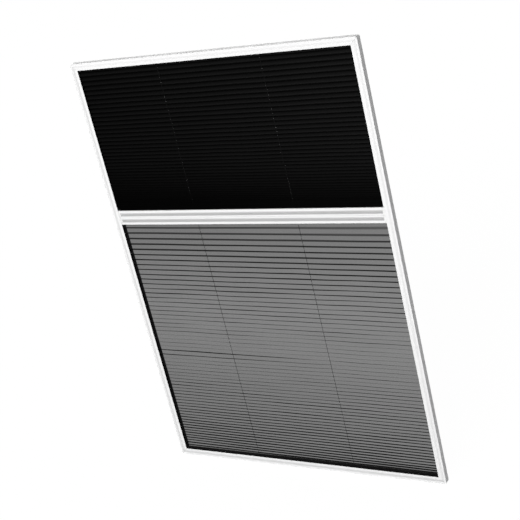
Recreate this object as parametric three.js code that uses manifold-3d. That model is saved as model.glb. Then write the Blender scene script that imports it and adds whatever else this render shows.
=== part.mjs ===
// Skylight window blind: a pleated sun shade above and a pleated insect screen below, in one flat
// aluminium frame. Each fabric ends in a handle rail that slides on two taut cords.
// Millimetres, +Z up. The origin is the bottom centre of the frame, at the middle of its depth.
// The face with the long groove looks into the room, towards -Y.

import * as THREE from "three";
import { mergeVertices } from "three/addons/utils/BufferGeometryUtils.js";
import Module from "manifold-3d";

const wasm = await Module();
wasm.setup();

// Whole blind
const blindWidth = 1100;
const blindHeight = 1600;
const blindDepth = 22;

// Frame profile: a closed chamber along the outer edge and a channel that opens inwards
const faceWidth = 25;
const outerWall = 2.2;
const frameWall = 1.2;
const chamberWidth = 6.5;
const cornerRadius = 6.5;
const faceGrooveInset = 5;
const faceGrooveWidth = 10;
const faceGrooveDepth = 0.5;

// Screw holes through the two upright profiles, for fixing in the window reveal
const fixingHoleDiameter = 4.5;
const fixingHoleInset = 250;

// Corner keys
const keyLegLength = 45;

// Side guides, the black liners in the upright channels
const guideWall = 0.7;

// Fabric carriers, the troughs in the top and bottom channels
const carrierWall = 1.2;
const carrierSetback = 1;

// Tension cords and what holds them
const cordDiameter = 1.4;
const cordInset = 326.5;
const cordHoleDiameter = 3;
const cordBoreDiameter = 2.2;
const cordTail = 1;
const anchorWidth = 14;
const anchorHeight = 8;
const ferruleDiameter = 4;
const ferruleHeight = 3.5;
const clampScrewDiameter = 3;
const clampHeadDiameter = 5.5;
const clampHeadHeight = 2;

// Handle rails: both have this section, and meet face to face
const meetingHeight = 1016;
const railSeam = 0.4;
const railHeight = 26.8;
const railDepth = 21;
const railWall = 1.3;
const fabricRidge = 8.5;
const meetingRidge = 5.2;
const gripDepth = 5.4;
const gripRamp = 3.5;
const slotMouth = 5;
const slotLip = 1.2;
const slotWidth = 10;
const slotRoom = 3;

// End caps of the rails
const capWidth = 6;
const capPlugLength = 14;
const capTongueInset = 1;

// Fabric strips, which slide into the slots of the rails
const stripFlangeWidth = 15;
const stripFlangeThickness = 1;

// Magnets that hold the two rails together
const magnetLength = 60;
const magnetWidth = 8.4;
const magnetThickness = 1.7;
const magnetInset = 138.5;

// Cord bushes in the rails
const bushDiameter = 6;
const bushFlangeThickness = 1.4;

// Pleated fabrics. The pitch is a pleat's height, and follows a power law along the fabric.
const clothShift = 0.8;
const cordSlotWidth = 2.5;
const fabricSideLap = 9;
const shadePleats = 45;
const shadePleatFace = 16;
const shadeTopPitch = 17.5;
const shadeRailPitch = 2.7;
const shadeBendShare = 1.6;
const screenPleats = 48;
const screenPleatFace = 14.7;
const screenRailPitch = 26;
const screenBottomPitch = 14;
const screenBendShare = 0.9;

// Fits
const seatGap = 0.2;
const mitreGap = 0.3;
const slideGap = 0.5;
const endPlay = 1.5;

// Making
const cutOverrun = 5;
const weldDistance = 0.001;
const roundSides = 16;
const cordSides = 8;
const arcSteps = 5;

// Sizes that follow
const halfDepth = blindDepth / 2;
const channelFloor = outerWall + chamberWidth + frameWall;
const channelHalf = halfDepth - frameWall;
const openingHalfWidth = blindWidth / 2 - faceWidth;
const cordSpacing = 2 * (openingHalfWidth - cordInset);
const guideFace = blindWidth / 2 - channelFloor - seatGap - guideWall;
const guideHalf = channelHalf - seatGap;
const guideInnerHalf = guideHalf - guideWall;
const carrierHalf = guideInnerHalf - seatGap;
const carrierFace = faceWidth - carrierSetback;
const carrierFloor = carrierFace - carrierWall;
const carrierFoot = channelFloor + seatGap;
const railHalf = railDepth / 2;
const railEnd = openingHalfWidth - slideGap;
const capFoot = railEnd - capWidth;
const magnetRoom = magnetThickness + seatGap;
const gripBottom = meetingRidge;
const gripTop = railHeight - fabricRidge;
const slotFloor = railHeight - slotLip - slotRoom;
const hollowBottom = magnetRoom + railWall;
const hollowTop = slotFloor - railWall;
const stripTop = railHeight + seatGap + stripFlangeThickness;

const white = { color: 0xf2f2f0, roughness: 0.45, metalness: 0.0 };
const whitePlastic = { color: 0xf4f4f2, roughness: 0.5, metalness: 0.0 };
const blackPlastic = { color: 0x0b0b0b, roughness: 0.6, metalness: 0.0 };
const keyPlastic = { color: 0x6a6c6e, roughness: 0.6, metalness: 0.0 };
const steel = { color: 0xa8abae, roughness: 0.35, metalness: 1.0 };
const magnetBlack = { color: 0x2a2a2c, roughness: 0.7, metalness: 0.1 };
const cordBlack = { color: 0x17171a, roughness: 0.8, metalness: 0.0 };
const shadeCloth = { color: 0x0d0d0e, roughness: 0.9, metalness: 0.0 };
const screenCloth = { color: 0x3a3c3e, roughness: 0.9, metalness: 0.0 };

// Solids and meshes

function toSolid(geometry) {
  const bare = new THREE.BufferGeometry();
  bare.setAttribute("position", geometry.getAttribute("position"));
  bare.setIndex(geometry.getIndex());
  const merged = mergeVertices(bare, weldDistance);
  const mesh = new wasm.Mesh({
    numProp: 3,
    vertProperties: new Float32Array(merged.getAttribute("position").array),
    triVerts: new Uint32Array(merged.getIndex().array),
  });
  return new wasm.Manifold(mesh);
}

function toGeometry(solid) {
  const { vertProperties, triVerts } = solid.getMesh();
  const geometry = new THREE.BufferGeometry();
  geometry.setAttribute("position", new THREE.BufferAttribute(vertProperties, 3));
  geometry.setIndex(new THREE.BufferAttribute(triVerts, 1));
  geometry.computeVertexNormals();
  return geometry;
}

function named(name, solid, look) {
  const mesh = new THREE.Mesh(toGeometry(solid), new THREE.MeshStandardMaterial(look));
  mesh.name = name;
  return mesh;
}

function outline(points) {
  return new THREE.Shape(points.map(([x, y]) => new THREE.Vector2(x, y)));
}

function extruded(shape, length) {
  const options = { depth: length, bevelEnabled: false, curveSegments: arcSteps };
  return new THREE.ExtrudeGeometry(shape, options).translate(0, 0, -length / 2);
}

// A shape drawn in X and Z, extruded along Y
function throughDepth(shape, length) {
  return extruded(shape, length).rotateX(Math.PI / 2);
}

// A shape drawn in Y and Z, extruded along X
function alongWidth(shape, length) {
  const [x, y, z] = [new THREE.Vector3(), new THREE.Vector3(), new THREE.Vector3()];
  new THREE.Matrix4().extractBasis(x, y, z);
  return extruded(shape, length).applyMatrix4(new THREE.Matrix4().makeBasis(y, z, x));
}

function block(width, depth, height) {
  return new THREE.BoxGeometry(width, depth, height);
}

function upright(diameter, height, sides = roundSides) {
  const radius = diameter / 2;
  return new THREE.CylinderGeometry(radius, radius, height, sides).rotateX(Math.PI / 2);
}

function lying(diameter, length) {
  const radius = diameter / 2;
  return new THREE.CylinderGeometry(radius, radius, length, roundSides).rotateZ(Math.PI / 2);
}

function sideName(side) {
  return side < 0 ? "left" : "right";
}

// Frame pieces are drawn for the left side: X inwards from the middle of the blind, Z along the
// piece. A turn about Y then brings them to their own side.
const frameSides = [
  { name: "left", turn: 0, span: blindWidth, length: blindHeight },
  { name: "bottom", turn: -Math.PI / 2, span: blindHeight, length: blindWidth },
  { name: "right", turn: Math.PI, span: blindWidth, length: blindHeight },
  { name: "top", turn: Math.PI / 2, span: blindHeight, length: blindWidth },
];

function ontoSide(mesh, side) {
  mesh.rotation.y = side.turn;
  mesh.position.z = blindHeight / 2;
  return mesh;
}

// Frame profile, cut to a mitre at both ends and rounded at the outer corners

function frameSection() {
  const grooveEnd = faceGrooveInset + faceGrooveWidth;
  const grooveFloor = -halfDepth + faceGrooveDepth;
  const section = outline([
    [0, -halfDepth],
    [faceGrooveInset, -halfDepth],
    [faceGrooveInset + faceGrooveDepth, grooveFloor],
    [grooveEnd - faceGrooveDepth, grooveFloor],
    [grooveEnd, -halfDepth],
    [faceWidth, -halfDepth],
    [faceWidth, -channelHalf],
    [channelFloor, -channelHalf],
    [channelFloor, channelHalf],
    [faceWidth, channelHalf],
    [faceWidth, halfDepth],
    [0, halfDepth],
  ]);
  const chamberEnd = outerWall + chamberWidth;
  section.holes.push(outline([
    [outerWall, -channelHalf],
    [outerWall, channelHalf],
    [chamberEnd, channelHalf],
    [chamberEnd, -channelHalf],
  ]));
  return section;
}

function mitreOutline(side) {
  const edge = -side.span / 2;
  const end = side.length / 2 - mitreGap / Math.SQRT2;
  const inner = faceWidth + cutOverrun;
  return outline([
    [edge - cutOverrun, -end - cutOverrun],
    [edge + inner, -end + inner],
    [edge + inner, end - inner],
    [edge - cutOverrun, end + cutOverrun],
  ]);
}

function roundedOutline(width, height, radius) {
  const [x, y] = [width / 2, height / 2];
  const shape = new THREE.Shape();
  shape.moveTo(-x + radius, -y);
  shape.lineTo(x - radius, -y);
  shape.absarc(x - radius, -y + radius, radius, -Math.PI / 2, 0);
  shape.lineTo(x, y - radius);
  shape.absarc(x - radius, y - radius, radius, 0, Math.PI / 2);
  shape.lineTo(-x + radius, y);
  shape.absarc(-x + radius, y - radius, radius, Math.PI / 2, Math.PI);
  shape.lineTo(-x, -y + radius);
  shape.absarc(-x + radius, -y + radius, radius, Math.PI, 1.5 * Math.PI);
  return shape;
}

function fixingHoles(side) {
  const reach = channelFloor + seatGap + guideWall;
  const drill = lying(fixingHoleDiameter, reach + 2 * cutOverrun);
  const end = side.length / 2 - fixingHoleInset;
  const holes = [-end, 0, end].map((z) => (
    toSolid(drill.clone().translate(-side.span / 2 + reach / 2, 0, z))
  ));
  return wasm.Manifold.union(holes);
}

function isUpright(side) {
  return side.span === blindWidth;
}

function frameProfile(side) {
  const bar = extruded(frameSection(), side.length).translate(-side.span / 2, 0, 0);
  const through = blindDepth + cutOverrun;
  const plate = roundedOutline(side.span, side.length, cornerRadius);
  let solid = toSolid(bar)
    .intersect(toSolid(throughDepth(mitreOutline(side), through)))
    .intersect(toSolid(throughDepth(plate, through)));
  if (isUpright(side)) {
    solid = solid.subtract(fixingHoles(side));
  }
  return ontoSide(named(`frame_${side.name}`, solid, white), side);
}

// Corner keys: an angle of plastic pushed into the chambers of two profiles

const cornerPlaces = [
  { name: "bottom_left", turn: 0, x: -1, z: 0 },
  { name: "bottom_right", turn: -Math.PI / 2, x: 1, z: 0 },
  { name: "top_right", turn: Math.PI, x: 1, z: 1 },
  { name: "top_left", turn: Math.PI / 2, x: -1, z: 1 },
];

function cornerKey(place) {
  const near = outerWall + seatGap;
  const far = outerWall + chamberWidth - seatGap;
  const end = near + keyLegLength;
  const angle = outline([[near, near], [end, near], [end, far], [far, far], [far, end], [near, end]]);
  const solid = toSolid(throughDepth(angle, 2 * (channelHalf - seatGap)));
  const mesh = named(`corner_key_${place.name}`, solid, keyPlastic);
  mesh.rotation.y = place.turn;
  mesh.position.set(place.x * blindWidth / 2, 0, place.z * blindHeight);
  return mesh;
}

// Side guides: black channels that line the upright profiles, where rails and fabrics run

function sideGuide(side) {
  const back = channelFloor + seatGap;
  const section = outline([
    [back, -guideHalf],
    [faceWidth, -guideHalf],
    [faceWidth, -guideInnerHalf],
    [back + guideWall, -guideInnerHalf],
    [back + guideWall, guideInnerHalf],
    [faceWidth, guideInnerHalf],
    [faceWidth, guideHalf],
    [back, guideHalf],
  ]);
  const length = side.length - 2 * (channelFloor + seatGap);
  const bar = extruded(section, length).translate(-side.span / 2, 0, 0);
  const solid = toSolid(bar).subtract(fixingHoles(side));
  return ontoSide(named(`side_guide_${side.name}`, solid, blackPlastic), side);
}

// Fabric carriers: troughs that close the top and bottom channels, open towards the frame

function fabricCarrier(side) {
  const section = outline([
    [carrierFoot, -carrierHalf],
    [carrierFace, -carrierHalf],
    [carrierFace, carrierHalf],
    [carrierFoot, carrierHalf],
    [carrierFoot, carrierHalf - carrierWall],
    [carrierFloor, carrierHalf - carrierWall],
    [carrierFloor, -carrierHalf + carrierWall],
    [carrierFoot, -carrierHalf + carrierWall],
  ]);
  const bar = extruded(section, 2 * (guideFace - seatGap)).translate(-side.span / 2, 0, 0);
  const drill = lying(cordHoleDiameter, carrierWall + 2 * cutOverrun);
  const holes = [-1, 1].map((end) => (
    toSolid(drill.clone().translate(-side.span / 2 + carrierFace, 0, end * cordSpacing / 2))
  ));
  const solid = toSolid(bar).subtract(wasm.Manifold.union(holes));
  return ontoSide(named(`${side.name}_fabric_carrier`, solid, blackPlastic), side);
}

// Cord ends: an anchor and a crimped ferrule at the top, a clamp with its screw at the bottom

const anchorDepth = 2 * (carrierHalf - carrierWall - seatGap);
const anchorFace = carrierFloor - seatGap;
const anchorMiddle = anchorFace - anchorHeight / 2;
const ferruleFace = anchorFace - anchorHeight - seatGap;
const ferruleMiddle = ferruleFace - ferruleHeight / 2;

function cordAnchor(side) {
  const solid = toSolid(block(anchorWidth, anchorDepth, anchorHeight))
    .subtract(toSolid(upright(cordBoreDiameter, anchorHeight + cutOverrun)));
  const mesh = named(`cord_anchor_${sideName(side)}`, solid, blackPlastic);
  mesh.position.set(side * cordSpacing / 2, 0, blindHeight - anchorMiddle);
  return mesh;
}

function cordFerrule(side) {
  const bore = cordDiameter + 2 * seatGap;
  const solid = toSolid(upright(ferruleDiameter, ferruleHeight))
    .subtract(toSolid(upright(bore, ferruleHeight + cutOverrun)));
  const mesh = named(`cord_ferrule_${sideName(side)}`, solid, steel);
  mesh.position.set(side * cordSpacing / 2, 0, blindHeight - ferruleMiddle);
  return mesh;
}

function cordClamp(side) {
  const screwBore = lying(clampScrewDiameter + 2 * seatGap, anchorWidth)
    .translate(side * anchorWidth / 2, 0, 0);
  const solid = toSolid(block(anchorWidth, anchorDepth, anchorHeight))
    .subtract(toSolid(upright(cordBoreDiameter, anchorHeight + cutOverrun)))
    .subtract(toSolid(screwBore));
  const mesh = named(`cord_clamp_${sideName(side)}`, solid, blackPlastic);
  mesh.position.set(side * cordSpacing / 2, 0, anchorMiddle);
  return mesh;
}

function clampScrew(side) {
  const tip = cordDiameter / 2 + seatGap;
  const seat = anchorWidth / 2 + seatGap;
  const shank = lying(clampScrewDiameter, seat - tip + clampHeadHeight / 2)
    .translate(side * (tip + seat + clampHeadHeight / 2) / 2, 0, 0);
  const head = lying(clampHeadDiameter, clampHeadHeight)
    .translate(side * (seat + clampHeadHeight / 2), 0, 0);
  const mesh = named(`clamp_screw_${sideName(side)}`, toSolid(shank).add(toSolid(head)), steel);
  mesh.position.set(side * cordSpacing / 2, 0, anchorMiddle);
  return mesh;
}

function tensionCord(side) {
  const top = blindHeight - ferruleFace + ferruleHeight;
  const bottom = anchorFace - anchorHeight - cordTail;
  const solid = toSolid(upright(cordDiameter, top - bottom, cordSides));
  const mesh = named(`tension_cord_${sideName(side)}`, solid, cordBlack);
  mesh.position.set(side * cordSpacing / 2, 0, (top + bottom) / 2);
  return mesh;
}

// Handle rails. Each is drawn with Z up from the face where the two rails meet to its fabric, and
// the lower rail is then turned over. The grip groove has one long slope, and a short ramp that
// ends it at gripCrease.

function railSection(gripCrease) {
  const section = outline([
    [railHalf, 0],
    [railHalf, railHeight],
    [slotMouth / 2, railHeight],
    [slotMouth / 2, railHeight - slotLip],
    [slotWidth / 2, railHeight - slotLip],
    [slotWidth / 2, slotFloor],
    [-slotWidth / 2, slotFloor],
    [-slotWidth / 2, railHeight - slotLip],
    [-slotMouth / 2, railHeight - slotLip],
    [-slotMouth / 2, railHeight],
    [-railHalf, railHeight],
    [-railHalf, gripTop],
    [-railHalf + gripDepth, gripCrease],
    [-railHalf, gripBottom],
    [-railHalf, 0],
    [-magnetWidth / 2 - seatGap, 0],
    [-magnetWidth / 2 - seatGap, magnetRoom],
    [magnetWidth / 2 + seatGap, magnetRoom],
    [magnetWidth / 2 + seatGap, 0],
  ]);
  const inner = railHalf - railWall;
  section.holes.push(outline([
    [inner, hollowBottom],
    [-inner, hollowBottom],
    [-inner, gripBottom - railWall / 2],
    [-inner + gripDepth, gripCrease],
    [-inner, gripTop + railWall / 2],
    [-inner, hollowTop],
    [inner, hollowTop],
  ]));
  return section;
}

function bushHoles(diameter, low, high) {
  const holes = [-1, 1].map((side) => (
    toSolid(upright(diameter, high - low).translate(side * cordSpacing / 2, 0, (low + high) / 2))
  ));
  return wasm.Manifold.union(holes);
}

function handleRail(kind, gripCrease) {
  const bar = alongWidth(railSection(gripCrease), 2 * (capFoot - seatGap));
  const holes = bushHoles(bushDiameter + 2 * seatGap, -cutOverrun, slotFloor + slotRoom / 2);
  return named(`${kind}_rail`, toSolid(bar).subtract(holes), white);
}

// End cap: a plate that closes the rail, a plug inside it and a tongue that runs in the side guide
function endCap(kind, side, turned) {
  const tongueEnd = guideFace - endPlay;
  const tongueHalf = guideInnerHalf - slideGap;
  const plugFront = -railHalf + gripDepth + railWall + seatGap;
  const plugBack = railHalf - railWall - seatGap;
  const plugLow = hollowBottom + seatGap;
  const plugHigh = hollowTop - seatGap;
  const middle = railHeight / 2;
  const tongueReach = tongueEnd - capFoot;
  const plate = block(capWidth, railDepth, railHeight)
    .translate(side * (capFoot + capWidth / 2), 0, middle);
  const tongue = block(tongueReach, 2 * tongueHalf, railHeight - 2 * capTongueInset)
    .translate(side * (capFoot + tongueReach / 2), 0, middle);
  const plugReach = capPlugLength + capWidth / 2;
  const plug = block(plugReach, plugBack - plugFront, plugHigh - plugLow)
    .translate(
      side * (capFoot - capPlugLength + plugReach / 2),
      (plugFront + plugBack) / 2,
      (plugLow + plugHigh) / 2,
    );
  const solid = toSolid(plate).add(toSolid(tongue)).add(toSolid(plug));
  return named(`${kind}_rail_cap_${sideName(side * turned)}`, solid, whitePlastic);
}

function fabricStrip(kind) {
  const head = slotWidth / 2 - seatGap;
  const neck = slotMouth / 2 - seatGap;
  const flange = stripFlangeWidth / 2;
  const headLow = slotFloor + seatGap;
  const headHigh = railHeight - slotLip - seatGap;
  const flangeLow = railHeight + seatGap;
  const section = outline([
    [head, headLow],
    [head, headHigh],
    [neck, headHigh],
    [neck, flangeLow],
    [flange, flangeLow],
    [flange, stripTop],
    [-flange, stripTop],
    [-flange, flangeLow],
    [-neck, flangeLow],
    [-neck, headHigh],
    [-head, headHigh],
    [-head, headLow],
  ]);
  const bar = alongWidth(section, 2 * (capFoot - seatGap));
  const holes = bushHoles(cordHoleDiameter, headLow - cutOverrun, stripTop + cutOverrun);
  return named(`${kind}_fabric_strip`, toSolid(bar).subtract(holes), blackPlastic);
}

function cordBush(kind, side, turned) {
  const flangeHigh = magnetRoom - seatGap;
  const flangeLow = flangeHigh - bushFlangeThickness;
  const barrel = upright(bushDiameter, slotFloor - flangeLow)
    .translate(0, 0, (slotFloor + flangeLow) / 2);
  const flange = upright(magnetWidth, bushFlangeThickness)
    .translate(0, 0, (flangeHigh + flangeLow) / 2);
  const bore = upright(cordBoreDiameter, slotFloor + 2 * cutOverrun)
    .translate(0, 0, slotFloor / 2);
  const solid = toSolid(barrel).add(toSolid(flange)).subtract(toSolid(bore));
  const mesh = named(`${kind}_cord_bush_${sideName(side * turned)}`, solid, whitePlastic);
  mesh.position.x = side * cordSpacing / 2;
  return mesh;
}

function railMagnet(kind, side, turned) {
  const solid = toSolid(block(magnetLength, magnetWidth, magnetThickness));
  const mesh = named(`${kind}_magnet_${sideName(side * turned)}`, solid, magnetBlack);
  mesh.position.set(side * (capFoot - magnetInset), 0, magnetThickness / 2);
  return mesh;
}

function railAssembly(kind, turned, gripCrease) {
  const group = new THREE.Group();
  group.add(handleRail(kind, gripCrease));
  group.add(fabricStrip(kind));
  for (const side of [-1, 1]) {
    group.add(endCap(kind, side, turned));
    group.add(cordBush(kind, side, turned));
    group.add(railMagnet(kind, side, turned));
  }
  group.rotation.y = turned < 0 ? Math.PI : 0;
  group.position.z = meetingHeight + turned * railSeam / 2;
  return group;
}

// Pleated fabrics. The folds lie at heights whose spacing goes from the first pitch at the fixed
// end to the last pitch at the other, scaled to fill the height between them.

function foldHeights(pleats, firstPitch, lastPitch, bendShare, height) {
  const pitches = Array.from({ length: pleats }, (_, k) => {
    const along = (k / (pleats - 1)) ** bendShare;
    return firstPitch + (lastPitch - firstPitch) * along;
  });
  const scale = height / pitches.reduce((sum, pitch) => sum + pitch, 0);
  const folds = [0];
  for (const pitch of pitches) {
    const start = folds[folds.length - 1];
    folds.push(start + scale * pitch / 2, start + scale * pitch);
  }
  return folds;
}

// Front and back of the cloth in Y and Z, down from its top edge, a fold at each point
function clothFaces(folds, pleatFace) {
  const last = folds.length - 1;
  const middle = folds.map((drop, k) => {
    const rise = (folds[Math.min(k + 1, last)] - folds[Math.max(k - 1, 0)]) / 2;
    const depth = Math.sqrt(pleatFace ** 2 - Math.min(rise, pleatFace) ** 2) - clothShift;
    const side = k % 2 === 0 ? 1 : -1;
    return [side * depth / 2, -drop];
  });
  return [-1, 1].map((face) => middle.map(([y, z]) => [y + face * clothShift / 2, z]));
}

function clothBetween(left, right, front, back) {
  const shape = outline([...front, ...back.toReversed()]);
  return toSolid(alongWidth(shape, right - left).translate((left + right) / 2, 0, 0));
}

// The first one and a half pleat faces at one end of the cloth
function endFolds([edge, fold, next]) {
  return [edge, fold, [(fold[0] + next[0]) / 2, (fold[1] + next[1]) / 2]];
}

// The cloth is three panels with a cord between them, joined across the cords at both ends
function pleatedFabric(name, folds, pleatFace, top, look) {
  const [front, back] = clothFaces(folds, pleatFace);
  const edge = openingHalfWidth + fabricSideLap;
  const slots = [-1, 1].map((side) => side * cordSpacing / 2);
  const lefts = [-edge, ...slots.map((x) => x + cordSlotWidth / 2)];
  const rights = [...slots.map((x) => x - cordSlotWidth / 2), edge];
  const pieces = lefts.map((left, k) => clothBetween(left, rights[k], front, back));
  const hole = block(cordSlotWidth + cutOverrun, cordSlotWidth, 2 * folds[folds.length - 1]);
  for (const x of slots) {
    const cut = toSolid(hole.clone().translate(x, 0, 0));
    const [left, right] = [x - cordSlotWidth / 2, x + cordSlotWidth / 2];
    for (const chains of [[front, back], [front.toReversed(), back.toReversed()]]) {
      const [frontEnd, backEnd] = chains.map(endFolds);
      pieces.push(clothBetween(left, right, frontEnd, backEnd).subtract(cut));
    }
  }
  const mesh = named(name, wasm.Manifold.union(pieces), look);
  mesh.position.z = top;
  return mesh;
}

const stripReach = railSeam / 2 + stripTop + seatGap;

function shadeFabric() {
  const top = blindHeight - carrierFace - seatGap;
  const height = top - meetingHeight - stripReach;
  const folds = foldHeights(shadePleats, shadeTopPitch, shadeRailPitch, shadeBendShare, height);
  return pleatedFabric("shade_fabric", folds, shadePleatFace, top, shadeCloth);
}

function screenFabric() {
  const top = meetingHeight - stripReach;
  const height = top - carrierFace - seatGap;
  const folds = foldHeights(screenPleats, screenRailPitch, screenBottomPitch, screenBendShare, height);
  return pleatedFabric("screen_fabric", folds, screenPleatFace, top, screenCloth);
}

// The blind

const blind = new THREE.Group();
for (const side of frameSides) {
  blind.add(frameProfile(side));
  blind.add(isUpright(side) ? sideGuide(side) : fabricCarrier(side));
}
for (const place of cornerPlaces) {
  blind.add(cornerKey(place));
}
for (const side of [-1, 1]) {
  blind.add(cordAnchor(side));
  blind.add(cordFerrule(side));
  blind.add(cordClamp(side));
  blind.add(clampScrew(side));
  blind.add(tensionCord(side));
}
blind.add(railAssembly("shade", 1, gripBottom + gripRamp));
blind.add(railAssembly("screen", -1, gripTop - gripRamp));
blind.add(shadeFabric());
blind.add(screenFabric());

export default blind;
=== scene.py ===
# Skylight window blind: a flat white frame with two pleated fabrics in it, an opaque black shade
# above and a black see-through insect screen below, each on a handle rail that slides on two cords.
# Metres, +Z up. The room side looks towards -Y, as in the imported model.

import math

import bmesh
import bpy
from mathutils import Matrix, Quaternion, Vector, noise


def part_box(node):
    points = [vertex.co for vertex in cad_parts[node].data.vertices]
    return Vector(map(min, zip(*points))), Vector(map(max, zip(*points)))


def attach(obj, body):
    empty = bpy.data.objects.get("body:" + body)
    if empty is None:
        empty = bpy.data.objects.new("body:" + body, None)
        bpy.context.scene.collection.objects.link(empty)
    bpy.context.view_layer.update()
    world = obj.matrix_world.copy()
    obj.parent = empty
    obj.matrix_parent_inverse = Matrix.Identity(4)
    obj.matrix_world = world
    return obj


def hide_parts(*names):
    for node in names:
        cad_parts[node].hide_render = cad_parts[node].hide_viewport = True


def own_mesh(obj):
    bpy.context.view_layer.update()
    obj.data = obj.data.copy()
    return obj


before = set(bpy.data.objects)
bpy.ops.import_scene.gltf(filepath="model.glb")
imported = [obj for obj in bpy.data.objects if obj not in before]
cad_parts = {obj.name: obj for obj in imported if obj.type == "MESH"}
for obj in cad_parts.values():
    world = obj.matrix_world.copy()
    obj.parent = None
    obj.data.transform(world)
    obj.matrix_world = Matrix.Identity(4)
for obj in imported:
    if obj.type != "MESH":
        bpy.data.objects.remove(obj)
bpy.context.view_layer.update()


# Frame: four profiles of extruded aluminium, mitred at the corners and pushed onto corner keys.
# They are powder-coated white, in a fine texture like orange peel, and have one shallow long
# groove in the face. The edges of the extrusion are slightly rounded.

frame_profiles = ["frame_left", "frame_right", "frame_top", "frame_bottom"]
profile_edge_radius = 0.0004
weld_distance = 0.00001
sharp_edge_angle = math.radians(25)
groove_start = 0.005
groove_end = 0.015
groove_soft_edge = 0.0025
# What is left of the colour under the painted shade in the groove.
groove_painted_shade = 0.9
lean_start = 0.001
lean_end = 0.016
mean_lean = math.tan(math.radians(15))
face_skin = 0.0015
speckle_contrast = (0.35, 0.65)
speckle_weight = 0.4
drift_contrast = (0.3, 0.7)
drift_weight = 0.6
tone_without_drift = 0.2
blend_share, blend_first, blend_second, blend_result = 0, 6, 7, 2


def give_inputs(tree, node, inputs):
    """Gives a node's inputs their values, or links them where an output is given."""
    for socket, value in inputs.items():
        if isinstance(value, bpy.types.NodeSocket):
            tree.links.new(value, node.inputs[socket])
        else:
            node.inputs[socket].default_value = value


def shader_node(tree, kind, inputs=None, **settings):
    """Adds a node to a shader tree, with its settings and its inputs."""
    node = tree.nodes.new(kind)
    for name, value in settings.items():
        setattr(node, name, value)
    give_inputs(tree, node, inputs or {})
    return node


def worked_out(tree, operation, *values, **settings):
    """What that operation of a Math node makes of those values."""
    node = shader_node(tree, "ShaderNodeMath", dict(enumerate(values)), operation=operation,
                       **settings)
    return node.outputs["Value"]


def spread_out(tree, value, taken, given=(0.0, 1.0), **settings):
    """That value, mapped from the range taken to the range given, and held at both ends."""
    node = shader_node(tree, "ShaderNodeMapRange", {
        "Value": value, "From Min": taken[0], "From Max": taken[1], "To Min": given[0],
        "To Max": given[1],
    }, **settings)
    return node.outputs["Result"]


def blended(tree, share, first, second, **settings):
    """The colour at that share of the way from the first colour to the second. Several sockets of
    a Mix node have the same name, so they go by their number."""
    node = shader_node(tree, "ShaderNodeMix", {
        blend_share: share, blend_first: first, blend_second: second,
    }, data_type="RGBA", **settings)
    return node.outputs[blend_result]


def cloudy(tree, place, repeats, detail, roughness=0.5):
    """Clouds of noise with that many repeats per metre."""
    node = shader_node(tree, "ShaderNodeTexNoise", {
        "Vector": place, "Scale": repeats, "Detail": detail, "Roughness": roughness,
    })
    return node.outputs["Fac"]


def embossed(tree, height, depth, **settings):
    """The normals of a relief, whose height of 1 stands that many metres high."""
    node = shader_node(tree, "ShaderNodeBump", {
        "Height": height, "Distance": depth, "Strength": 1.0,
    }, **settings)
    return node.outputs["Normal"]


def blank_material(name):
    """A material with one Principled BSDF, and its tree and shader."""
    material = bpy.data.materials.new(name)
    material.use_nodes = True
    return material, material.node_tree, material.node_tree.nodes["Principled BSDF"]


def shader_group(name, inputs, outputs):
    """A shader node group with sockets of those kinds, what it is given, and its output node."""
    tree = bpy.data.node_groups.new(name, "ShaderNodeTree")
    for way, sockets in (("INPUT", inputs), ("OUTPUT", outputs)):
        for socket, kind in sockets.items():
            tree.interface.new_socket(socket, in_out=way, socket_type=f"NodeSocket{kind}")
    return tree, shader_node(tree, "NodeGroupInput").outputs, shader_node(tree, "NodeGroupOutput")


def surface_grain():
    """A group that gives the fine relief of a coated or moulded surface, and how its tone drifts."""
    tree, given, result = shader_group(
        "surface grain",
        {"Place": "Vector", "Grain per metre": "Float", "Drift per metre": "Float"},
        {"Relief": "Float", "Speckle": "Float", "Drift": "Float"},
    )
    grain = cloudy(tree, given["Place"], given["Grain per metre"], detail=2.0, roughness=0.6)
    dimples = shader_node(tree, "ShaderNodeTexVoronoi", {
        "Vector": given["Place"], "Scale": given["Grain per metre"],
    }, feature="SMOOTH_F1").outputs["Distance"]
    give_inputs(tree, result, {
        "Relief": worked_out(tree, "ADD", grain, dimples),
        "Speckle": spread_out(tree, grain, speckle_contrast),
        "Drift": cloudy(tree, given["Place"], given["Drift per metre"], detail=3.0),
    })
    return tree


def painted_recess_shade():
    """A group that paints shade into a colour with the depth of a recess, where less light reaches.
    Depth is 0 on the face and 1 on the floor, and Floor tone is what is left of the colour there."""
    tree, given, result = shader_group(
        "painted recess shade", {"Colour": "Color", "Depth": "Float", "Floor tone": "Float"},
        {"Colour": "Color"},
    )
    toned = blended(
        tree, given["Depth"], given["Colour"], given["Floor tone"], blend_type="MULTIPLY",
    )
    give_inputs(tree, result, {"Colour": toned})
    return tree


def paint_recess_shade(tree, depth, floor_tone):
    """Puts the painted recess shade between a coat's colour and its shader."""
    recess = shader_node(tree, "ShaderNodeGroup", {
        "Colour": tree.nodes["colour"].outputs[blend_result], "Depth": depth,
        "Floor tone": floor_tone,
    }, node_tree=recess_shade_group)
    give_inputs(tree, tree.nodes["Principled BSDF"], {"Base Color": recess.outputs["Colour"]})


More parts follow.
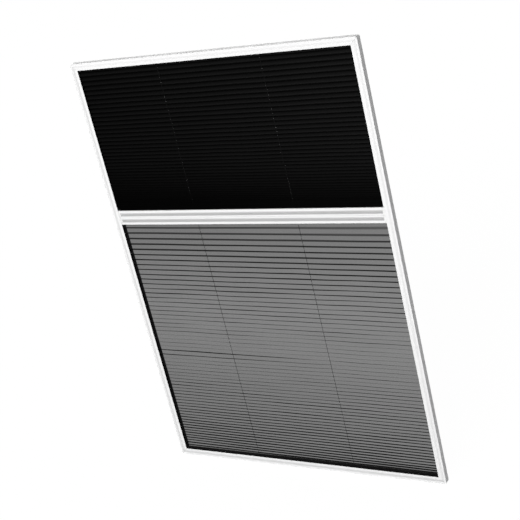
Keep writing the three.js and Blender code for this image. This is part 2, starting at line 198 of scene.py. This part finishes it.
def grained(name, pale, dark, rough, smooth, grain, drift, depth, shine):
    """A material on Object coordinates with that grain: colour, roughness and relief vary with it.
    grain and drift are repeats per metre, and depth is the height of the relief in metres."""
    material, tree, surface = blank_material(name)
    pattern = shader_node(tree, "ShaderNodeGroup", {
        "Place": shader_node(tree, "ShaderNodeTexCoord").outputs["Object"],
        "Grain per metre": grain, "Drift per metre": drift,
    }, node_tree=grain_group).outputs
    drifting = worked_out(tree, "MULTIPLY_ADD", pattern["Drift"], drift_weight, tone_without_drift)
    tone = worked_out(tree, "MULTIPLY_ADD", pattern["Speckle"], speckle_weight, drifting,
                      use_clamp=True)
    height = worked_out(tree, "MULTIPLY", pattern["Relief"], depth, name="height")
    give_inputs(tree, surface, {
        "Base Color": blended(tree, tone, (*dark, 1.0), (*pale, 1.0), name="colour"),
        "Roughness": spread_out(tree, pattern["Drift"], drift_contrast, (smooth, rough)),
        "Normal": embossed(tree, height, 1.0, name="relief"),
        "Specular IOR Level": shine,
    })
    return material


def coat_to_change(coat, name):
    """A copy of that coat, its tree, and the X, Y and Z of the place on the object."""
    material = coat.copy()
    material.name = name
    tree = material.node_tree
    place = shader_node(tree, "ShaderNodeTexCoord").outputs["Object"]
    return material, tree, shader_node(tree, "ShaderNodeSeparateXYZ", {"Vector": place}).outputs


def grooved(coat, name):
    """That coat on the frame: with painted shade in the long groove, whose hollow leans outwards."""
    material, tree, place = coat_to_change(coat, name)
    low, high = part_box("frame_left")[0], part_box("frame_right")[1]
    from_edges = []
    for axis, part in ((0, "X"), (2, "Z")):
        middle = (low[axis] + high[axis]) / 2
        offset = worked_out(tree, "SUBTRACT", place[part], middle)
        away = worked_out(tree, "ABSOLUTE", offset)
        from_edges.append(worked_out(tree, "SUBTRACT", high[axis] - middle, away))
    inwards = worked_out(tree, "MINIMUM", *from_edges)
    on_face = worked_out(tree, "LESS_THAN", place["Y"], low.y + face_skin)
    entered = spread_out(tree, inwards, (groove_start, groove_start + groove_soft_edge))
    not_left = spread_out(tree, inwards, (groove_end, groove_end - groove_soft_edge))
    within = worked_out(tree, "MULTIPLY", entered, not_left)
    # Painted shade: the colour is darkened in the long groove of the face.
    paint_recess_shade(tree, worked_out(tree, "MULTIPLY", within, on_face), groove_painted_shade)
    climb = spread_out(
        tree, inwards, (lean_start, lean_end), (0.0, mean_lean * (lean_end - lean_start)),
        interpolation_type="SMOOTHSTEP",
    )
    grain_height = tree.nodes["height"].outputs["Value"]
    give_inputs(tree, tree.nodes["relief"], {
        "Height": worked_out(tree, "MULTIPLY_ADD", climb, on_face, grain_height),
    })
    return material


def finish_nodes(names, material, edge_radius):
    """Gives CAD nodes their material, and rounds their edges."""
    for name in names:
        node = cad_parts[name]
        for slot in node.material_slots:
            slot.material = material
        weld = node.modifiers.new("weld", "WELD")
        weld.merge_threshold = weld_distance
        rounding = node.modifiers.new("rounded edges", "BEVEL")
        rounding.width = edge_radius
        rounding.segments = 2
        rounding.limit_method = "ANGLE"
        rounding.angle_limit = sharp_edge_angle
        facing = node.modifiers.new("flat faces", "WEIGHTED_NORMAL")
        facing.weight = 100


grain_group = surface_grain()
recess_shade_group = painted_recess_shade()
powder_coat = grained(
    "white powder coat", pale=(0.86, 0.86, 0.86), dark=(0.79, 0.79, 0.795), rough=0.5,
    smooth=0.42, grain=900.0, drift=11.0, depth=0.00003, shine=0.25,
)
finish_nodes(frame_profiles, grooved(powder_coat, "grooved powder coat"), profile_edge_radius)


# Corner keys: angles moulded from grey plastic that hold two profiles together. They sit in the
# chambers of the profiles, and only the light through the mitre's hairline reaches them.

corner_keys = [f"corner_key_{place}" for place in (
    "bottom_left", "bottom_right", "top_right", "top_left",
)]
key_edge_radius = 0.0005
grey_plastic = grained(
    "grey moulded plastic", pale=(0.17, 0.175, 0.18), dark=(0.13, 0.133, 0.137), rough=0.62,
    smooth=0.5, grain=1600.0, drift=25.0, depth=0.00002, shine=0.45,
)
finish_nodes(corner_keys, grey_plastic, key_edge_radius)


# Side guides and fabric carriers: black plastic sections that line the four channels of the
# frame. The rails' tongues run in the side guides, and the fabrics end on the carriers.

guides_and_carriers = [
    "side_guide_left", "side_guide_right", "top_fabric_carrier", "bottom_fabric_carrier",
]
liner_edge_radius = 0.0002
black_plastic = grained(
    "black moulded plastic", pale=(0.009, 0.009, 0.009), dark=(0.004, 0.004, 0.004), rough=0.6,
    smooth=0.5, grain=2200.0, drift=30.0, depth=0.000015, shine=0.06,
)
finish_nodes(guides_and_carriers, black_plastic, liner_edge_radius)


# Cord ends: a black anchor with a crimped steel ferrule above it at the top of each cord, and at
# the bottom a black clamp with a small steel screw that holds the cord once it is drawn tight.

cord_blocks = [f"cord_{kind}_{side}" for kind in ("anchor", "clamp") for side in ("left", "right")]
steel_pieces = [f"{kind}_{side}" for kind in ("cord_ferrule", "clamp_screw")
                for side in ("left", "right")]
block_edge_radius = 0.0004
steel_edge_radius = 0.0002
steel_dark = (0.42, 0.43, 0.44, 1.0)
steel_pale = (0.6, 0.61, 0.62, 1.0)
steel_roughness = (0.25, 0.42)
tool_marks_per_metre = 3000.0
tool_mark_depth = 0.00001


def turned_steel():
    """Bright steel with the fine marks of the tool."""
    material, tree, surface = blank_material("bare steel")
    place = shader_node(tree, "ShaderNodeTexCoord").outputs["Object"]
    marks = cloudy(tree, place, tool_marks_per_metre, detail=2.0)
    give_inputs(tree, surface, {
        "Base Color": blended(tree, marks, steel_dark, steel_pale),
        "Roughness": spread_out(tree, marks, (0.0, 1.0), steel_roughness),
        "Normal": embossed(tree, marks, tool_mark_depth),
        "Metallic": 1.0,
    })
    return material


finish_nodes(cord_blocks, black_plastic, block_edge_radius)
finish_nodes(steel_pieces, turned_steel(), steel_edge_radius)


# Tension cords: two thin braided cords of black polyester, drawn taut from the anchor at the top
# to the clamp at the bottom. They run through both rails and through a hole in every pleat.

cord_sides = 12
cord_steps = 12
cord_radius = 0.0007
braid_turns_per_metre = 260.0
braid_strands = 8.0
braid_depth = 0.00015
full_turn = 2 * math.pi
cord_dark = (0.004, 0.004, 0.004, 1.0)
cord_pale = (0.014, 0.014, 0.014, 1.0)
cord_roughness = (0.8, 0.55)
cord_shine = 0.05


def crossed_yarns():
    """A group that crosses two sets of yarns, each given by its phase in radians. Height is how
    high they stand where they cross, from 0 to 1, and Threads is the sum of both waves."""
    tree, given, result = shader_group(
        "crossed yarns", {"First phase": "Float", "Second phase": "Float"},
        {"Height": "Float", "Threads": "Float"},
    )
    waves = [worked_out(tree, "SINE", given[f"{place} phase"]) for place in ("First", "Second")]
    crossing = worked_out(tree, "MULTIPLY", *waves)
    give_inputs(tree, result, {
        "Height": worked_out(tree, "MULTIPLY_ADD", crossing, 0.5, 0.5),
        "Threads": worked_out(tree, "ADD", *waves),
    })
    return tree


def lay_yarns(tree, first_phase, second_phase):
    """Places the crossed yarns in a material, and gives what they put out."""
    return shader_node(tree, "ShaderNodeGroup", {
        "First phase": first_phase, "Second phase": second_phase,
    }, node_tree=yarn_group).outputs


def lay_uv(mesh, place_on_map):
    """Writes a UV map whose coordinates come from each corner's place."""
    layer = mesh.loops.layers.uv.new("cloth map")
    for face in mesh.faces:
        for loop in face.loops:
            loop[layer].uv = place_on_map(loop)


def settle_order(mesh):
    """Puts edges and faces in the order of their vertices, because extruding leaves them in
    another order each run."""
    mesh.verts.index_update()
    for parts in (mesh.edges, mesh.faces):
        in_order = sorted(parts, key=lambda part: sorted(vert.index for vert in part.verts))
        for number, part in enumerate(in_order):
            part.index = number
        parts.sort()


def make_piece(name, mesh, material):
    """Turns a bmesh into an object in the scene."""
    settle_order(mesh)
    data = bpy.data.meshes.new(name)
    mesh.to_mesh(data)
    mesh.free()
    data.materials.append(material)
    piece = bpy.data.objects.new(name, data)
    bpy.context.scene.collection.objects.link(piece)
    return piece


def extrude_row(mesh, edges, step):
    """Extrudes a row or a ring of edges by that step, and gives the new vertices and edges."""
    grown = bmesh.ops.extrude_edge_only(mesh, edges=edges)["geom"]
    verts = [part for part in grown if isinstance(part, bmesh.types.BMVert)]
    bmesh.ops.translate(mesh, verts=verts, vec=step)
    return verts, [part for part in grown if isinstance(part, bmesh.types.BMEdge)]


def braided_cord():
    """Black polyester yarn in a round braid, which follows the cord's own map."""
    material, tree, surface = blank_material("black braided cord")
    place = shader_node(tree, "ShaderNodeTexCoord").outputs["UV"]
    parts = shader_node(tree, "ShaderNodeSeparateXYZ", {"Vector": place}).outputs
    phases = []
    for way in (1.0, -1.0):
        around = worked_out(tree, "MULTIPLY", parts["X"], way * braid_strands * full_turn)
        phases.append(worked_out(
            tree, "MULTIPLY_ADD", parts["Y"], braid_turns_per_metre * full_turn, around,
        ))
    height = lay_yarns(tree, *phases)["Height"]
    give_inputs(tree, surface, {
        "Base Color": blended(tree, height, cord_dark, cord_pale),
        "Roughness": spread_out(tree, height, (0.0, 1.0), cord_roughness),
        "Normal": embossed(tree, height, braid_depth),
        "Specular IOR Level": cord_shine,
    })
    return material


def tension_cord(side, material):
    """One taut cord in the place of its CAD solid."""
    low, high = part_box(f"tension_cord_{side}")
    middle = (low + high) / 2
    mesh = bmesh.new()
    ring = bmesh.ops.create_circle(mesh, segments=cord_sides, radius=cord_radius, cap_ends=False)
    bmesh.ops.translate(mesh, verts=ring["verts"], vec=(middle.x, middle.y, low.z))
    first_ring = list(mesh.edges)
    edges = first_ring
    for _ in range(cord_steps):
        _, edges = extrude_row(mesh, edges, (0, 0, (high.z - low.z) / cord_steps))
    for end in (first_ring, edges):
        bmesh.ops.contextual_create(mesh, geom=end)
    bmesh.ops.recalc_face_normals(mesh, faces=mesh.faces)

    def around_and_along(loop):
        centre = loop.face.calc_center_median()
        spot = loop.vert.co
        turn = math.atan2(spot.y - middle.y, spot.x - middle.x) / full_turn
        own = math.atan2(centre.y - middle.y, centre.x - middle.x) / full_turn
        return (turn + round(own - turn), spot.z)

    lay_uv(mesh, around_and_along)
    for face in mesh.faces:
        face.smooth = len(face.verts) < cord_sides
    cord = make_piece(f"braided_cord_{side}", mesh, material)
    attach(cord, "frame")
    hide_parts(f"tension_cord_{side}")


yarn_group = crossed_yarns()
cord_braid = braided_cord()
for cord_side in ("left", "right"):
    tension_cord(cord_side, cord_braid)


# Handle rails: one extruded white section on each fabric, with a grip groove along its face, and
# white moulded caps whose tongues run in the side guides. Bushes lead the cords through them,
# and four flat magnets hold the two rails together where they meet.

rail_profiles = ["shade_rail", "screen_rail"]
rail_edge_radius = 0.0005
grip_depth = 0.0054
grip_height = 0.0131
# Where the painted shade in the grip grooves lies, and how much of the colour is left under it.
grip_shade_start = 0.0022
grip_shade_end = 0.0028
grip_lip_share = 0.65
grip_brow_share = 0.15
grip_fabric_ridge = 0.0085
grip_painted_shade = 0.5
grip_skin = 0.0001
cap_edge_radius = 0.0006
small_edge_radius = 0.0003
white_plastic = grained(
    "white moulded plastic", pale=(0.84, 0.84, 0.835), dark=(0.78, 0.78, 0.775), rough=0.55,
    smooth=0.45, grain=1800.0, drift=30.0, depth=0.00002, shine=0.45,
)
magnet_ferrite = grained(
    "ferrite magnet", pale=(0.035, 0.035, 0.037), dark=(0.018, 0.018, 0.019), rough=0.8,
    smooth=0.6, grain=2600.0, drift=60.0, depth=0.00002, shine=0.4,
)


def gripped(coat, name):
    """That coat on the rails: with painted shade in the grip grooves, darkest along their crease.
    Both grooves have the same section, so the height above the lower lip repeats from rail to rail."""
    material, tree, place = coat_to_change(coat, name)
    lower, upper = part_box("screen_rail"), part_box("shade_rail")
    lower_lip = lower[0].z + grip_fabric_ridge
    upper_lip = upper[1].z - grip_fabric_ridge - grip_height
    rise = worked_out(tree, "SUBTRACT", place["Z"], lower_lip)
    above_lip = worked_out(tree, "FLOORED_MODULO", rise, upper_lip - lower_lip)
    # Painted shade: darkest near the crease, lighter towards the lip and the brow.
    climb = spread_out(tree, above_lip, (0.0, grip_shade_start), (grip_lip_share, 1.0))
    fall = spread_out(tree, above_lip, (grip_shade_end, grip_height), (1.0, grip_brow_share))
    sunk = worked_out(tree, "MINIMUM", climb, fall)
    face = lower[0].y + grip_skin
    behind_face = worked_out(tree, "GREATER_THAN", place["Y"], face)
    room_side = worked_out(tree, "LESS_THAN", place["Y"], face + grip_depth)
    in_groove = worked_out(tree, "MULTIPLY", behind_face, room_side)
    paint_recess_shade(tree, worked_out(tree, "MULTIPLY", sunk, in_groove), grip_painted_shade)
    return material


finish_nodes(rail_profiles, gripped(powder_coat, "gripped powder coat"), rail_edge_radius)
for small_piece, small_material, edge_radius in (
    ("rail_cap", white_plastic, cap_edge_radius),
    ("cord_bush", white_plastic, small_edge_radius),
    ("magnet", magnet_ferrite, small_edge_radius),
):
    finish_nodes([f"{kind}_{small_piece}_{side}" for kind in ("shade", "screen")
                  for side in ("left", "right")], small_material, edge_radius)


# Fabric strips: black plastic sections that slide into the slots of the rails. The end of each
# fabric is glued to the flange, which shows as a thin black line along the rail.

fabric_strips = ["shade_fabric_strip", "screen_fabric_strip"]
strip_edge_radius = 0.0002
finish_nodes(fabric_strips, black_plastic, strip_edge_radius)


# Shade: an opaque black cloth of fine woven polyester, coated on the back and heat-set in sharp
# pleats that stand closer together towards the rail. It is glued to the top carrier and to its
# rail's strip, and each pleat has two punched holes for the cords.

cord_places = [sum(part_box(f"tension_cord_{side}"), Vector()).x / 2 for side in ("left", "right")]
fold_segments = 2
hole_segments = 2
hole_corner_share = 0.5
hole_clear_radii = 4
hole_widest_radii = 2.5
hole_squareness = 0.9
held_share = 0.04
sway_gain = 2.0
sways_per_metre_across = 7.0
sways_per_metre_down = 9.0
own_sways_per_metre = 4.0
own_sways_per_fold = 0.7
shade_hole_radius = 0.00085
shade_fold_radius = 0.0002
shade_pleats = 45
shade_pleat_face = 0.016
shade_first_pitch = 0.0175
shade_last_pitch = 0.0027
shade_bend_share = 1.6
shade_panels = 22
shade_wave = 0.0007
shade_scatter = 0.0004
shade_hang = ((0.0, 0.0038), (-0.015, 0.0038))
shade_thickness = 0.0002
# The next values set the painted shade in the valleys and towards the rail, and the painted light
# towards the right.
shade_valley_share = 0.3
shade_lit_until = 0.5
shade_darkest_from = 0.85
shade_darkest_share = 0.45
shade_left_share = 0.55
shade_black = (0.0, 0.0, 0.0, 1.0)
shade_dark = (0.006, 0.006, 0.006, 1.0)
shade_pale = (0.016, 0.016, 0.016, 1.0)
shade_roughness = (0.75, 0.95)
shade_slubs_per_metre = 140.0
shade_slub_weight = 0.5
yarn_pitch = 0.00045
yarn_depth = 0.00006


def fold_drops(pleats, first_pitch, last_pitch, bend_share, height):
    """How far each fold lies from the fixed end. The pitch follows a power law along the cloth."""
    pitches = [first_pitch + (last_pitch - first_pitch) * (k / (pleats - 1)) ** bend_share
               for k in range(pleats)]
    scale = height / sum(pitches)
    drops = [0.0]
    for pitch in pitches:
        drops += [drops[-1] + scale * pitch / 2, drops[-1] + scale * pitch]
    return drops


def columns_between(half_width, panels, hole_radius):
    """Where the cloth's columns stand: two close together at each cord, and the others evenly
    spaced, except for those that would stand too near a hole."""
    even = [-half_width + 2 * half_width * k / panels for k in range(panels + 1)]
    close = [place + step for place in cord_places for step in (-hole_radius, hole_radius)]
    clear = [x for x in even
             if all(abs(x - place) > hole_clear_radii * hole_radius for place in cord_places)]
    return sorted(clear + close)


def folded_sheet(top, drops, face_length, columns, hole_radius):
    """A sheet extruded fold by fold from its top edge, and the edges of its folds. Each face of a
    pleat has a low row of panels in its middle, where the holes come. Each vertex keeps its run,
    the number of the fold above it and its share of the way to the next."""
    mesh = bmesh.new()
    run = mesh.verts.layers.float.new("run")
    last = len(drops) - 1
    folds = []
    for k, drop in enumerate(drops):
        rise = (drops[min(k + 1, last)] - drops[max(k - 1, 0)]) / 2
        depth = math.sqrt(face_length ** 2 - min(rise, face_length) ** 2) / 2
        folds.append(Vector((0, depth if k % 2 == 0 else -depth, top - drop)))
    row = [mesh.verts.new((x, *folds[0].yz)) for x in columns]
    edges = [mesh.edges.new(pair) for pair in zip(row, row[1:])]
    fold_edges = []
    for k, (spot, fold) in enumerate(zip(folds, folds[1:])):
        hole_half = hole_radius / (fold - spot).length
        before = 0.0
        for share in (0.5 - hole_half, 0.5 + hole_half, 1.0):
            verts, edges = extrude_row(mesh, edges, (fold - spot) * (share - before))
            for vert in verts:
                vert[run] = k + share
            before = share
        if k < last - 1:
            fold_edges += edges
    return mesh, fold_edges


def let_hang(mesh, top, drops, half_width, wave, scatter, hang, slack):
    """Moves a sheet's vertices up or down. The whole cloth sways by the wave, and each fold for
    itself by the scatter. Between its held edges it hangs with the slope and lift given for its
    upper and lower end. On the left half, it hangs lower from each slack fold on, by the drop
    given there."""
    run = mesh.verts.layers.float["run"]
    last = len(drops) - 1
    (upper_slope, upper_lift), (lower_slope, lower_lift) = hang

    def own_sway(fold_number, x):
        if fold_number in (0, last):
            return 0.0
        leftwards = min(max(0.5 - x / half_width, 0.0), 1.0)
        lower_by = sum(drop * (last - fold_number) / (last - first)
                       for first, drop in slack.items() if fold_number >= first)
        own = noise.noise(Vector((x * own_sways_per_metre, fold_number * own_sways_per_fold, 0.0)))
        return sway_gain * scatter * own - lower_by * leftwards

    for vert in mesh.verts:
        x, _, z = vert.co
        above = math.floor(vert[run])
        between = vert[run] - above
        fallen = min(max((top - z) / drops[-1], 0.0), 1.0)
        loose = min(1.0, fallen / held_share, (1.0 - fallen) / held_share)
        vert.co.z += loose * (1.0 - fallen) * (upper_slope * x + upper_lift)
        vert.co.z += loose * fallen * (lower_slope * x + lower_lift)
        sway = noise.noise(Vector((x * sways_per_metre_across, 0.0, z * sways_per_metre_down)))
        vert.co.z += wave * math.sin(math.pi * fallen) * sway * sway_gain
        vert.co.z += (1 - between) * own_sway(above, x)
        if between > 0:
            vert.co.z += between * own_sway(above + 1, x)


def punch_holes(mesh, hole_radius):
    """Rounds the corners of the small square panels at the cords, and takes the panels out."""
    corners = []
    for face in mesh.faces:
        lengths = [edge.calc_length() for edge in face.edges]
        square = min(lengths) > hole_squareness * max(lengths)
        if square and max(lengths) < hole_widest_radii * hole_radius:
            corners += face.verts
    bmesh.ops.bevel(
        mesh, geom=corners, offset=hole_corner_share * hole_radius, segments=hole_segments,
        affect="VERTICES", profile=0.5, material=-1,
    )
    rounded = 4 * (hole_segments + 1)
    holes = [face for face in mesh.faces if len(face.verts) == rounded]
    bmesh.ops.delete(mesh, geom=holes, context="FACES_ONLY")


def pleated_cloth(name, material, top, drops, half_width, face_length, panels, hole_radius,
                  fold_radius, wave, scatter, hang, slack):
    """A pleated sheet with rounded folds and a hole at each cord."""
    columns = columns_between(half_width, panels, hole_radius)
    mesh, fold_edges = folded_sheet(top, drops, face_length, columns, hole_radius)
    run = mesh.verts.layers.float["run"]
    lay_uv(mesh, lambda loop: (
        (loop.vert.co.x + half_width) / (2 * half_width), loop.vert[run] / (len(drops) - 1),
    ))
    let_hang(mesh, top, drops, half_width, wave, scatter, hang, slack)
    bmesh.ops.bevel(
        mesh, geom=fold_edges, offset=fold_radius, segments=fold_segments, affect="EDGES",
        profile=0.5, material=-1, clamp_overlap=True,
    )
    punch_holes(mesh, hole_radius)
    bmesh.ops.recalc_face_normals(mesh, faces=mesh.faces)
    return make_piece(name, mesh, material)


def laid_flat(tree, width, length):
    """The place on the cloth as it lies flat, in metres: as a vector, across and along it."""
    place = shader_node(tree, "ShaderNodeTexCoord").outputs["UV"]
    metres = shader_node(tree, "ShaderNodeMapping", {
        "Vector": place, "Scale": (width, length, 1.0),
    }).outputs["Vector"]
    parts = shader_node(tree, "ShaderNodeSeparateXYZ", {"Vector": metres}).outputs
    return metres, parts["X"], parts["Y"]


def plain_weave(tree, across, along, pitch):
    """Yarns that cross at right angles, with that pitch both ways."""
    phases = [worked_out(tree, "MULTIPLY", way, full_turn / pitch) for way in (across, along)]
    return lay_yarns(tree, *phases)


def woven_shade():
    """Fine plain weave in near black, matt, with slightly lighter yarn on the crossings. It has
    painted shade towards the valleys of its pleats and towards the rail, where the pleats stand
    close, and painted light that grows towards its right side."""
    material, tree, surface = blank_material("black blackout cloth")
    metres, across, along = laid_flat(tree, 2 * shade_half_width, shade_length)
    height = plain_weave(tree, across, along, yarn_pitch)["Height"]
    slubs = cloudy(tree, metres, shade_slubs_per_metre, detail=4.0)
    tone = worked_out(tree, "MULTIPLY_ADD", slubs, shade_slub_weight, height)
    cloth = blended(tree, tone, shade_dark, shade_pale)
    # Painted shade: the colour darkens from the ridges into the valleys of the pleats.
    to_ridge = worked_out(tree, "PINGPONG", along, shade_pleat_face)
    valley_shade = spread_out(tree, to_ridge, (0.0, shade_pleat_face), (shade_valley_share, 1.0))
    # Painted shade: darker towards the rail, where the pleats stand close together.
    painted_shade_near_rail = spread_out(
        tree, along, (shade_lit_until * shade_length, shade_darkest_from * shade_length),
        (1.0, shade_darkest_share),
    )
    # Painted light: the colour grows lighter towards the right side of the cloth.
    painted_light_to_right = spread_out(tree, across, (0.0, 2 * shade_half_width), (shade_left_share, 1.0))
    painted_lighting = worked_out(tree, "MULTIPLY", painted_shade_near_rail, painted_light_to_right)
    painted_shading = worked_out(tree, "MULTIPLY", valley_shade, painted_lighting)
    give_inputs(tree, surface, {
        "Base Color": blended(tree, painted_shading, shade_black, cloth),
        "Roughness": spread_out(tree, slubs, (0.0, 1.0), shade_roughness),
        "Normal": embossed(tree, height, yarn_depth),
        "Specular IOR Level": 0.0,
    })
    return material


shade_low, shade_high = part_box("shade_fabric")
shade_half_width = shade_high.x
shade_height = shade_high.z - shade_low.z
shade_length = 2 * shade_pleats * shade_pleat_face
shade_drops = fold_drops(
    shade_pleats, shade_first_pitch, shade_last_pitch, shade_bend_share, shade_height,
)
shade = pleated_cloth(
    "pleated_shade", woven_shade(), shade_high.z, shade_drops, shade_half_width,
    face_length=shade_pleat_face, panels=shade_panels, hole_radius=shade_hole_radius,
    fold_radius=shade_fold_radius, wave=shade_wave, scatter=shade_scatter, hang=shade_hang,
    slack={},
)
shade_wall = shade.modifiers.new("cloth thickness", "SOLIDIFY")
shade_wall.thickness = shade_thickness
shade_wall.offset = 0.0
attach(shade, "frame")
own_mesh(shade)
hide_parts("shade_fabric")


# Insect screen: a fine black polyester mesh that can be seen through, pleated like the shade. Seen
# at a slant, its round threads close up the holes. It is glued to its rail's strip and to the
# bottom carrier, and the cords run through punched holes in every pleat.

screen_pleats = 61
screen_pleat_face = 0.0155
screen_first_pitch = 0.0242
screen_last_pitch = 0.011
screen_bend_share = 0.565
screen_panels = 36
screen_wave = 0.0008
screen_scatter = 0.0006
screen_hang = ((-0.0095, 0.0), (-0.0095, -0.003))
screen_slack = {56: 0.0036, 58: 0.0036}
screen_hole_radius = 0.0009
screen_fold_radius = 0.00015
screen_dark = (0.005, 0.005, 0.005, 1.0)
screen_pale = (0.015, 0.015, 0.015, 1.0)
screen_roughness = (0.6, 0.8)
screen_shine = 0.01
screen_slubs_per_metre = 160.0
thread_pitch = 0.0009
thread_share = 0.52
round_share = 0.25
least_cosine = 0.02
weave_share = 0.4
crease_width = 0.001
crease_clear = 0.35
sharp_from_face = 1.6
under_rail_clear = 0.88
most_clear = 1.13
most_clear_start = 0.28
most_clear_end = 0.6


def see_through_mesh():
    """How much shows through follows the open share of the weave: its round threads look wider as
    the cloth turns edge-on, and they are pressed together along the creases, except for the first
    ones at the rail. Less shows through just below the rail, most some way further down, and the
    plain share from there on."""
    material, tree, surface = blank_material("black insect mesh")
    metres, across, along = laid_flat(tree, 2 * screen_half_width, screen_length)
    facing = shader_node(tree, "ShaderNodeLayerWeight", {"Blend": 0.5}).outputs["Facing"]
    cosine = worked_out(tree, "SUBTRACT", 1.0, facing)
    guarded = worked_out(tree, "MAXIMUM", cosine, least_cosine)
    wider = worked_out(tree, "DIVIDE", thread_share * round_share, guarded)
    covered = worked_out(tree, "ADD", wider, thread_share * (1 - round_share), use_clamp=True)
    gap = worked_out(tree, "SUBTRACT", 1.0, covered)
    clear = worked_out(tree, "MULTIPLY", gap, gap)
    threads = plain_weave(tree, across, along, thread_pitch)["Threads"]
    swing = worked_out(tree, "MULTIPLY_ADD", threads, weave_share / 2, 1.0)
    seen_through = worked_out(tree, "MULTIPLY", clear, swing)

    from_crease = worked_out(tree, "PINGPONG", along, screen_pleat_face / 2)
    blunt_until = sharp_from_face * screen_pleat_face
    sharpness = spread_out(tree, along, (blunt_until, 2 * blunt_until), (1.0, crease_clear))
    pressed = spread_out(tree, from_crease, (0.0, crease_width), (sharpness, 1.0))
    beside_crease = worked_out(tree, "MULTIPLY", seen_through, pressed)

    # Less shows through just below the rail, and most some way further down.
    most_clear_from, most_clear_until = most_clear_start * screen_length, most_clear_end * screen_length
    below_rail = spread_out(tree, along, (0.0, most_clear_from), (under_rail_clear, most_clear))
    further_down = spread_out(tree, along, (most_clear_from, most_clear_until), (most_clear, 1.0))
    clear_along_cloth = worked_out(tree, "MINIMUM", below_rail, further_down)
    open_share = worked_out(tree, "MULTIPLY", beside_crease, clear_along_cloth)

    slubs = cloudy(tree, metres, screen_slubs_per_metre, detail=3.0)
    give_inputs(tree, surface, {
        "Alpha": worked_out(tree, "SUBTRACT", 1.0, open_share, use_clamp=True),
        "Base Color": blended(tree, slubs, screen_dark, screen_pale),
        "Roughness": spread_out(tree, slubs, (0.0, 1.0), screen_roughness),
        "Specular IOR Level": screen_shine,
    })
    return material


screen_low, screen_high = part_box("screen_fabric")
screen_half_width = screen_high.x
screen_height = screen_high.z - screen_low.z
screen_length = 2 * screen_pleats * screen_pleat_face
screen_drops = fold_drops(
    screen_pleats, screen_first_pitch, screen_last_pitch, screen_bend_share, screen_height,
)
screen = pleated_cloth(
    "pleated_screen", see_through_mesh(), screen_high.z, screen_drops, screen_half_width,
    face_length=screen_pleat_face, panels=screen_panels, hole_radius=screen_hole_radius,
    fold_radius=screen_fold_radius, wave=screen_wave, scatter=screen_scatter, hang=screen_hang,
    slack=screen_slack,
)
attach(screen, "frame")
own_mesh(screen)
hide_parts("screen_fabric")


# Studio: a pale floor, a wide soft lamp in front, a little high and to the right, a weaker one
# behind, a little low and to the left, and a white background. The floor shows the same white, and
# faintly the blind's shadow.

floor_size = 14.0
floor_colour = (0.45, 0.45, 0.45, 1.0)
floor_white_share = 0.9
floor_white = 1.09
background_white = (1.0, 1.0, 1.0, 1.0)
ambient = 0.06
lamp_spread = math.radians(60)
front_lamp_strength = 3.48
towards_front_lamp = Vector((0.135, -0.9, 0.3))
back_lamp_strength = 2.0
towards_back_lamp = Vector((-0.4, 0.9, -0.15))


def seen_white(tree):
    """1 for the rays that see the background: from the camera, in gloss or through glass."""
    path = shader_node(tree, "ShaderNodeLightPath").outputs
    mirrored = worked_out(tree, "MAXIMUM", path["Is Camera Ray"], path["Is Glossy Ray"])
    return worked_out(tree, "MAXIMUM", mirrored, path["Is Transmission Ray"])


def white_world():
    """Dim light from all round, which shows as plain white."""
    world = bpy.data.worlds.new("white background")
    world.use_nodes = True
    tree = world.node_tree
    give_inputs(tree, tree.nodes["Background"], {
        "Color": background_white,
        "Strength": spread_out(tree, seen_white(tree), (0.0, 1.0), (ambient, 1.0)),
    })
    bpy.context.scene.world = world


def studio_floor():
    """A wide floor under the frame. What the camera sees is mostly white, plus its own light."""
    material, tree, surface = blank_material("pale floor")
    tree.nodes.remove(surface)
    matt = shader_node(tree, "ShaderNodeBsdfDiffuse", {"Color": floor_colour})
    white = shader_node(tree, "ShaderNodeEmission", {"Strength": floor_white})
    share = worked_out(tree, "MULTIPLY", seen_white(tree), floor_white_share)
    mixed = shader_node(tree, "ShaderNodeMixShader", {
        0: share, 1: matt.outputs["BSDF"], 2: white.outputs["Emission"],
    })
    give_inputs(tree, tree.nodes["Material Output"], {"Surface": mixed.outputs["Shader"]})
    mesh = bmesh.new()
    bmesh.ops.create_grid(mesh, x_segments=1, y_segments=1, size=floor_size / 2)
    make_piece("studio_floor", mesh, material)


def studio_lamp(name, strength, towards):
    """A wide soft lamp, far away."""
    lamp = bpy.data.lights.new(name, "SUN")
    lamp.energy = strength
    lamp.angle = lamp_spread
    holder = bpy.data.objects.new(name, lamp)
    holder.rotation_mode = "QUATERNION"
    holder.rotation_quaternion = towards.to_track_quat("Z", "Y")
    bpy.context.scene.collection.objects.link(holder)


white_world()
studio_floor()
studio_lamp("front_lamp", front_lamp_strength, towards_front_lamp)
studio_lamp("back_lamp", back_lamp_strength, towards_back_lamp)
bpy.context.scene.view_settings.view_transform = "Standard"


# Camera: in front of the blind, to its right and above, turned a little about its own axis, so
# that the upright frame leans to the left in the picture. The picture is cut so that the blind
# stands in its middle, which takes a small shift.

camera_place = Vector((2.149, -3.170, 2.452))
camera_aim = Vector((-0.0793, -0.011, 0.989))
camera_lens = 83.59
camera_sensor = 36.0
camera_roll = math.radians(-14.36)
camera_shift = (0.0665, -0.0689)
camera_reach = 100.0

photo_camera = bpy.data.cameras.new("photo camera")
photo_camera.lens = camera_lens
photo_camera.sensor_width = camera_sensor
photo_camera.shift_x, photo_camera.shift_y = camera_shift
photo_camera.clip_end = camera_reach
camera_holder = bpy.data.objects.new("photo_camera", photo_camera)
camera_holder.location = camera_place
camera_holder.rotation_mode = "QUATERNION"
camera_holder.rotation_quaternion = (
    (camera_aim - camera_place).to_track_quat("-Z", "Y")
    @ Quaternion((0, 0, 1), camera_roll)
)
bpy.context.scene.collection.objects.link(camera_holder)
bpy.context.scene.camera = camera_holder
